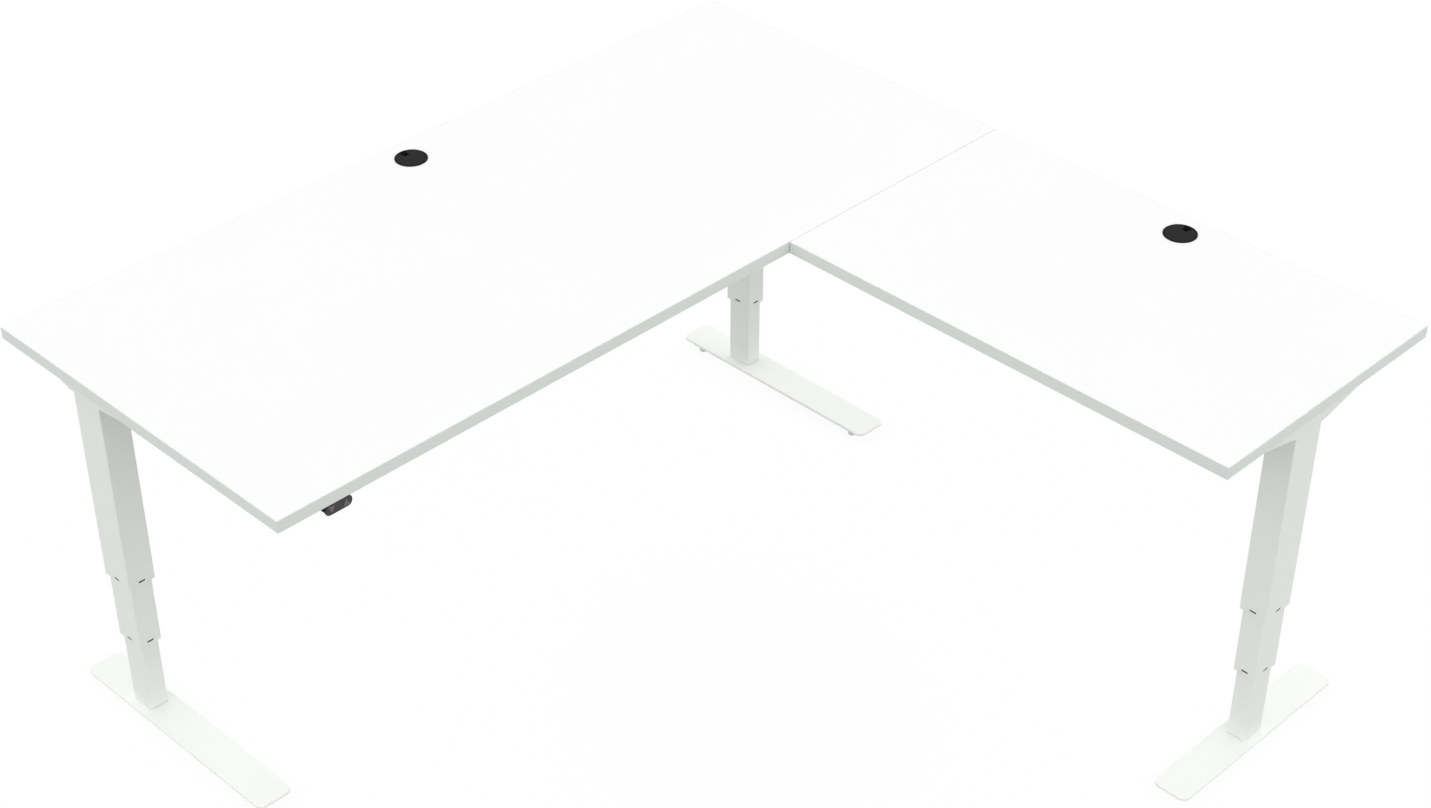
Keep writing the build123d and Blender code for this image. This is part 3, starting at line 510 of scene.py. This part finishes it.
zinc = metal("zinc_steel", (0.62, 0.62, 0.60), (0.68, 0.66, 0.60), roughness=0.28, grain_scale=900.0)
dress(zinc, "foot_screws", "frame_bolts", "top_screws", "joining_plates")
cast = metal("gear_case", (0.58, 0.59, 0.60), (0.50, 0.51, 0.52), roughness=0.42, grain_scale=500.0)
dress(cast, "gear_housings")
bronze = metal("nut_bronze", (0.62, 0.43, 0.20), (0.56, 0.38, 0.18), roughness=0.30, grain_scale=700.0)
dress(bronze, "lower_nuts")


# ---------------------------------------------------------------- motors
# Round steel cans in black stove enamel, which lie level between the rails, their necks through the
# end plates into the gear cases. A socket in each end cap takes the lead, on two rows of tinned pins.
PIN_HALF = 0.00032
PIN_TIP = 0.45
PIN_PITCH = 0.0025
PIN_ROWS = (-0.5, 0.5)
MOTOR_PIN_COLUMNS = (-2, -1, 0, 1, 2)
MOTOR_SOCKET_DEPTH = 0.006
MOTOR_PIN_LENGTH = 0.0045


def add_pin(mesh, root, tip, half_width, half_height, point):
    """Adds a flat contact pin from root to tip, its end drawn in to a blunt point."""
    way = (tip - root).normalized()
    side = way.cross(UP).normalized()
    loops = []
    for place, share in ((root, 1.0), (tip - way * point, 1.0), (tip, PIN_TIP)):
        loops.append([
            mesh.verts.new(place + side * half_width * share * x + UP * half_height * share * z)
            for x, z in ((-1, -1), (1, -1), (1, 1), (-1, 1))
        ])
    skin(mesh, loops, False)


motor_enamel = moulding(
    "motor_coat", (0.018, 0.018, 0.020), roughness=0.28, grain_scale=300.0, grain_depth=0.00004
)
dress(motor_enamel, *[f"{leg}_motor" for leg in LEGS])

pins = bmesh.new()
for leg in LEGS:
    inward = INWARD[leg]
    low, high = box_corners(f"{leg}_motor")
    end = (low + high) / 2 + inward * abs((high - low).dot(inward)) / 2
    for column in MOTOR_PIN_COLUMNS:
        for row in PIN_ROWS:
            root = end - inward * MOTOR_SOCKET_DEPTH
            root = root + (sideways(inward) * column + UP * row) * PIN_PITCH
            add_pin(pins, root, root + inward * MOTOR_PIN_LENGTH, PIN_HALF, PIN_HALF, PIN_HALF)
tinned = metal(
    "tinned_contacts", (0.74, 0.73, 0.70), (0.66, 0.65, 0.62), roughness=0.22, grain_scale=1500.0
)
piece("motor_socket_pins", pins, tinned, "top")


# ---------------------------------------------------------------- arms and rails
# Folded sheet steel arms under the tops, and box rails with end plates welded on all round, which
# are bolted to the arms and powder coated white with them.
RAIL_WIDTH = 0.025
RAIL_CORNER = 0.003
RAIL_CORNER_STEPS = 6
RAIL_BEAD = 0.0018


def rail_outline(half_width, half_height):
    """Places round a rail's rounded section, across and up, each with its way out."""
    arcs = []
    for x, z, start in ((1, 1, 0), (-1, 1, 90), (-1, -1, 180), (1, -1, 270)):
        centre = Vector((x * (half_width - RAIL_CORNER), z * (half_height - RAIL_CORNER)))
        arc = []
        for step in range(RAIL_CORNER_STEPS + 1):
            turn = math.radians(start + 90 * step / RAIL_CORNER_STEPS)
            out = Vector((math.cos(turn), math.sin(turn)))
            arc.append((centre + out * RAIL_CORNER, out))
        arcs.append(arc)
    places = []
    for arc, following in zip(arcs, arcs[1:] + arcs[:1]):
        here, out = arc[-1]
        goal = following[0][0]
        count = round((goal - here).length / BEAD_PITCH * PLACES_PER_RIPPLE)
        places += arc
        places += [(here.lerp(goal, step / count), out) for step in range(1, count)]
    return places


dress(white_coat, *[f"{leg}_support_arm" for leg in LEGS])
dress(white_coat, "main_rails", "extension_rails", "rail_end_plates")

beads = bmesh.new()
for node, along, across in (
    ("main_rails", Vector((1, 0, 0)), Vector((0, 1, 0))),
    ("extension_rails", Vector((0, 1, 0)), Vector((1, 0, 0))),
):
    low, high = box_corners(node)
    middle = (low + high) / 2
    half_length = (high - low).dot(along) / 2
    half_spread = (high - low).dot(across) / 2 - RAIL_WIDTH / 2
    outline = rail_outline(RAIL_WIDTH / 2, (high.z - low.z) / 2)
    for end in (-1, 1):
        for side in (-1, 1):
            centre = middle + along * half_length * end + across * half_spread * side
            ring = [
                (centre + across * place.x + UP * place.y, across * out.x + UP * out.y, -end * along)
                for place, out in outline
            ]
            add_bead(beads, ring, RAIL_BEAD, True)
piece("rail_weld_beads", beads, white_coat, "top")


# ---------------------------------------------------------------- tops
# White melamine faced boards with a faint pearl in the surface, and a plastic edging band glued
# round each. Its corners are scraped round, and the rounded top edge of the band is painted whiter, a
# painted highlight where the round meets the light.
LAMINATE_CLOUDS = 3.0
LAMINATE_PEARL = 1100.0
LAMINATE_ROUGHNESS = 0.34
CLOUD_ROUGHNESS = 0.06
PEARL_ROUGHNESS = 0.06
LAMINATE_DEPTH = 0.00003
LAMINATE_WHITES = (opaque(0.883, 0.886, 0.883), opaque(0.893, 0.895, 0.893))

board = Finish("white_laminate")
cloud = board.noise(LAMINATE_CLOUDS)
pearl = board.noise(LAMINATE_PEARL)
laminate = board.shade(
    Base_Color=board.blend(cloud, *LAMINATE_WHITES),
    Roughness=LAMINATE_ROUGHNESS + CLOUD_ROUGHNESS * cloud + PEARL_ROUGHNESS * pearl,
    Normal=board.relief(pearl, LAMINATE_DEPTH),
)
dress(laminate, "main_top", "extension_top")

EDGING_CLOUDS = 9.0
EDGING_LINES = 40.0
EDGING_LINE_STRETCH = 30.0
EDGING_ROUGHNESS = 0.38
LINE_ROUGHNESS = 0.10
HIGHLIGHT_EDGE_ROUGHNESS = 0.05
EDGING_DEPTH = 0.00004
EDGING_WHITES = (opaque(0.722, 0.755, 0.732), opaque(0.740, 0.773, 0.750))
# The band's top strip, down to this depth below the surface, is painted whiter: a painted highlight along
# the rounded top edge.
HIGHLIGHT_EDGE_DEPTH = 0.0013
PAINTED_HIGHLIGHT_WHITE = opaque(0.822, 0.836, 0.826)

band = Finish("white_edging")
drawn = band.noise(EDGING_LINES, 3.0, band.stretched(1.0, 1.0, EDGING_LINE_STRETCH))
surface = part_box("main_top")[1][2]
# Mask of the painted highlight: 0 below the top strip of the band and 1 near the surface.
painted_highlight_edge = band.ramp(band.along("Z"), surface - HIGHLIGHT_EDGE_DEPTH, surface - HIGHLIGHT_EDGE_DEPTH / 2)
plain_white = band.blend(band.noise(EDGING_CLOUDS), *EDGING_WHITES)
edging = band.shade(
    Base_Color=band.blend(painted_highlight_edge, plain_white, PAINTED_HIGHLIGHT_WHITE),
    Roughness=EDGING_ROUGHNESS + LINE_ROUGHNESS * drawn + HIGHLIGHT_EDGE_ROUGHNESS * painted_highlight_edge,
    Normal=band.relief(drawn, EDGING_DEPTH),
)
dress(edging, "main_edging", "extension_edging")


# ---------------------------------------------------------------- grommets
# Black moulded rings let into the tops, each with a turning cap that has one notch for cables. The
# caps are spark eroded to a fine matt grain, and the rings are left smoother and darker.
TOPS = ("main", "extension")

ring_plastic = moulding(
    "black_plastic", (0.0075, 0.0075, 0.0077),
    roughness=0.60, grain_scale=1300.0, grain_depth=0.00002, gloss=0.09,
)
cap_plastic = moulding(
    "matt_black_plastic", (0.0095, 0.0095, 0.0098),
    roughness=0.62, grain_scale=1500.0, grain_depth=0.00004,
)
dress(ring_plastic, *[f"{top}_grommet_ring" for top in TOPS])
dress(cap_plastic, *[f"{top}_grommet_cap" for top in TOPS])


# ---------------------------------------------------------------- handset
# A moulded box screwed up under the front edge: a dark grey face with painted shade on the rim round it,
# on a black body painted darker still for the shade it lies in, with two arrow buttons of a lighter
# rubbery grey. Behind them is a green circuit board with black switches.
HANDSET_FACE = 0.003
HANDSET_FIT = 0.0001
CASE_CLOUDS = 35.0
CASE_GRAIN = 1200.0
CASE_ROUGHNESS = 0.48
CASE_GRAIN_ROUGHNESS = 0.08
BODY_ROUGHNESS = 0.25
CASE_GLOSS = 0.15
CASE_DEPTH = 0.00003
CASE_GREYS = (opaque(0.062, 0.057, 0.061), opaque(0.069, 0.064, 0.068))
# Painted shade: the chamfered rim behind the face is painted darker for the shade it takes.
RIM_PAINTED_SHADE = opaque(0.033, 0.030, 0.033)
# The body is black plastic, painted darker still as painted shade for the side that lies in shade.
BLACK_BODY_AND_PAINTED_SHADE = opaque(0.003, 0.003, 0.003)

case = Finish("handset_plastic")
face_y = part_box("handset_housing")[0][1]
# Mask of the rim behind the face plane, where the painted shade goes.
painted_shade_rim = case.along("Y") > face_y + HANDSET_FIT
on_body = case.along("Y") > face_y + HANDSET_FACE - HANDSET_FIT
case_grain = case.noise(CASE_GRAIN, detail=4.0)
case_grey = case.blend(case.noise(CASE_CLOUDS), *CASE_GREYS)
case_front = case.blend(painted_shade_rim, case_grey, RIM_PAINTED_SHADE)
handset_plastic = case.shade(
    Base_Color=case.blend(on_body, case_front, BLACK_BODY_AND_PAINTED_SHADE),
    Roughness=CASE_ROUGHNESS + CASE_GRAIN_ROUGHNESS * case_grain + BODY_ROUGHNESS * on_body,
    Specular_IOR_Level=CASE_GLOSS,
    Normal=case.relief(case_grain, CASE_DEPTH),
)
dress(handset_plastic, "handset_housing")
dress(ring_plastic, "handset_back_cover")
button_plastic = moulding(
    "button_plastic", (0.150, 0.141, 0.134), roughness=0.6, grain_scale=900.0, grain_depth=0.00004
)
dress(button_plastic, "up_button", "down_button")

BOARD_THICKNESS = 0.0016
BOARD_GREENS = (opaque(0.02, 0.16, 0.05), opaque(0.03, 0.20, 0.07))
TRACK_GREEN = opaque(0.07, 0.30, 0.11)
TRACK_SCALE = 120.0
TRACK_RISE_STRETCH = 1.6
SWITCH_BLACK = opaque(0.012, 0.012, 0.012)
BOARD_CLOUDS = 200.0
BOARD_WEAVE = 500.0
BOARD_ROUGHNESS = 0.30
BOARD_CLOUD_ROUGHNESS = 0.10
BOARD_DEPTH = 0.00003

circuit = Finish("circuit_board")
board_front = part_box("handset_board")[1][1] - BOARD_THICKNESS
on_board = circuit.along("Y") > board_front - HANDSET_FIT
tracks = circuit.node(
    "ShaderNodeTexBrick",
    sockets={
        "Vector": circuit.stretched(1.0, 0.0, TRACK_RISE_STRETCH), "Scale": TRACK_SCALE,
        "Color1": BOARD_GREENS[0], "Color2": BOARD_GREENS[1], "Mortar": TRACK_GREEN,
    },
)
board_green = circuit.shade(
    Base_Color=circuit.blend(on_board, SWITCH_BLACK, tracks),
    Roughness=BOARD_ROUGHNESS + BOARD_CLOUD_ROUGHNESS * circuit.noise(BOARD_CLOUDS),
    Normal=circuit.relief(circuit.noise(BOARD_WEAVE), BOARD_DEPTH),
)
dress(board_green, "handset_board")


# ---------------------------------------------------------------- control box
# The motors' control box, screwed up under the main top beside the front rail: a black moulded
# tray and lid that meet at a fine parting line, with pins in its lead sockets and mains inlet.
BOX_BLACKS = (opaque(0.012, 0.012, 0.013), opaque(0.017, 0.017, 0.018))
BOX_CLOUDS = 30.0
BOX_GRAIN = 800.0
BOX_GRAIN_HEIGHT = 0.15
BOX_ROUGHNESS = 0.50
BOX_GRAIN_ROUGHNESS = 0.10
BOX_GLOSS = 0.2
PARTING_HEIGHT = 0.72
PARTING_HALF = 0.0003
PARTING_DEPTH = 0.0003

low, high = box_corners("control_box")
parting_z = low.z + (high.z - low.z) * PARTING_HEIGHT
shell = Finish("control_box_plastic")
shell_grain = shell.noise(BOX_GRAIN, detail=4.0)
parting = abs(shell.along("Z") - parting_z) < PARTING_HALF
shell_plastic = shell.shade(
    Base_Color=shell.blend(shell.noise(BOX_CLOUDS), *BOX_BLACKS),
    Roughness=BOX_ROUGHNESS + BOX_GRAIN_ROUGHNESS * shell_grain,
    Specular_IOR_Level=BOX_GLOSS,
    Normal=shell.relief(shell_grain * BOX_GRAIN_HEIGHT - parting, PARTING_DEPTH),
)
dress(shell_plastic, "control_box")

BOX_SOCKETS = (-0.045, -0.015, 0.015, 0.045)
BOX_SOCKET_DEPTH = 0.012
BOX_PIN_COLUMNS = (-1, 0, 1)
BOX_PIN_PITCH = 0.0042
BOX_PIN_LENGTH = 0.008
INLET_OFFSET = 0.088
INLET_SPREAD = 0.007
INLET_STAGGER = 0.002
INLET_BLADES = ((-1, -1), (0, 1), (1, -1))
INLET_HALVES = (0.0010, 0.0020)
INLET_POINT = 0.0010
INLET_LENGTH = 0.0095

contacts = bmesh.new()
back_y = low.y + BOX_SOCKET_DEPTH
middle_z = (low.z + high.z) / 2
outward = Vector((0, -1, 0))
for socket in BOX_SOCKETS:
    for column in BOX_PIN_COLUMNS:
        for row in PIN_ROWS:
            root = Vector((socket + column * BOX_PIN_PITCH, back_y, middle_z + row * BOX_PIN_PITCH))
            tip = root + outward * BOX_PIN_LENGTH
            add_pin(contacts, root, tip, 2 * PIN_HALF, 2 * PIN_HALF, PIN_HALF)
for blade, rise in INLET_BLADES:
    root = Vector((INLET_OFFSET + blade * INLET_SPREAD, back_y, middle_z + rise * INLET_STAGGER))
    add_pin(contacts, root, root + outward * INLET_LENGTH, *INLET_HALVES, INLET_POINT)
piece("control_box_pins", contacts, tinned, "top")
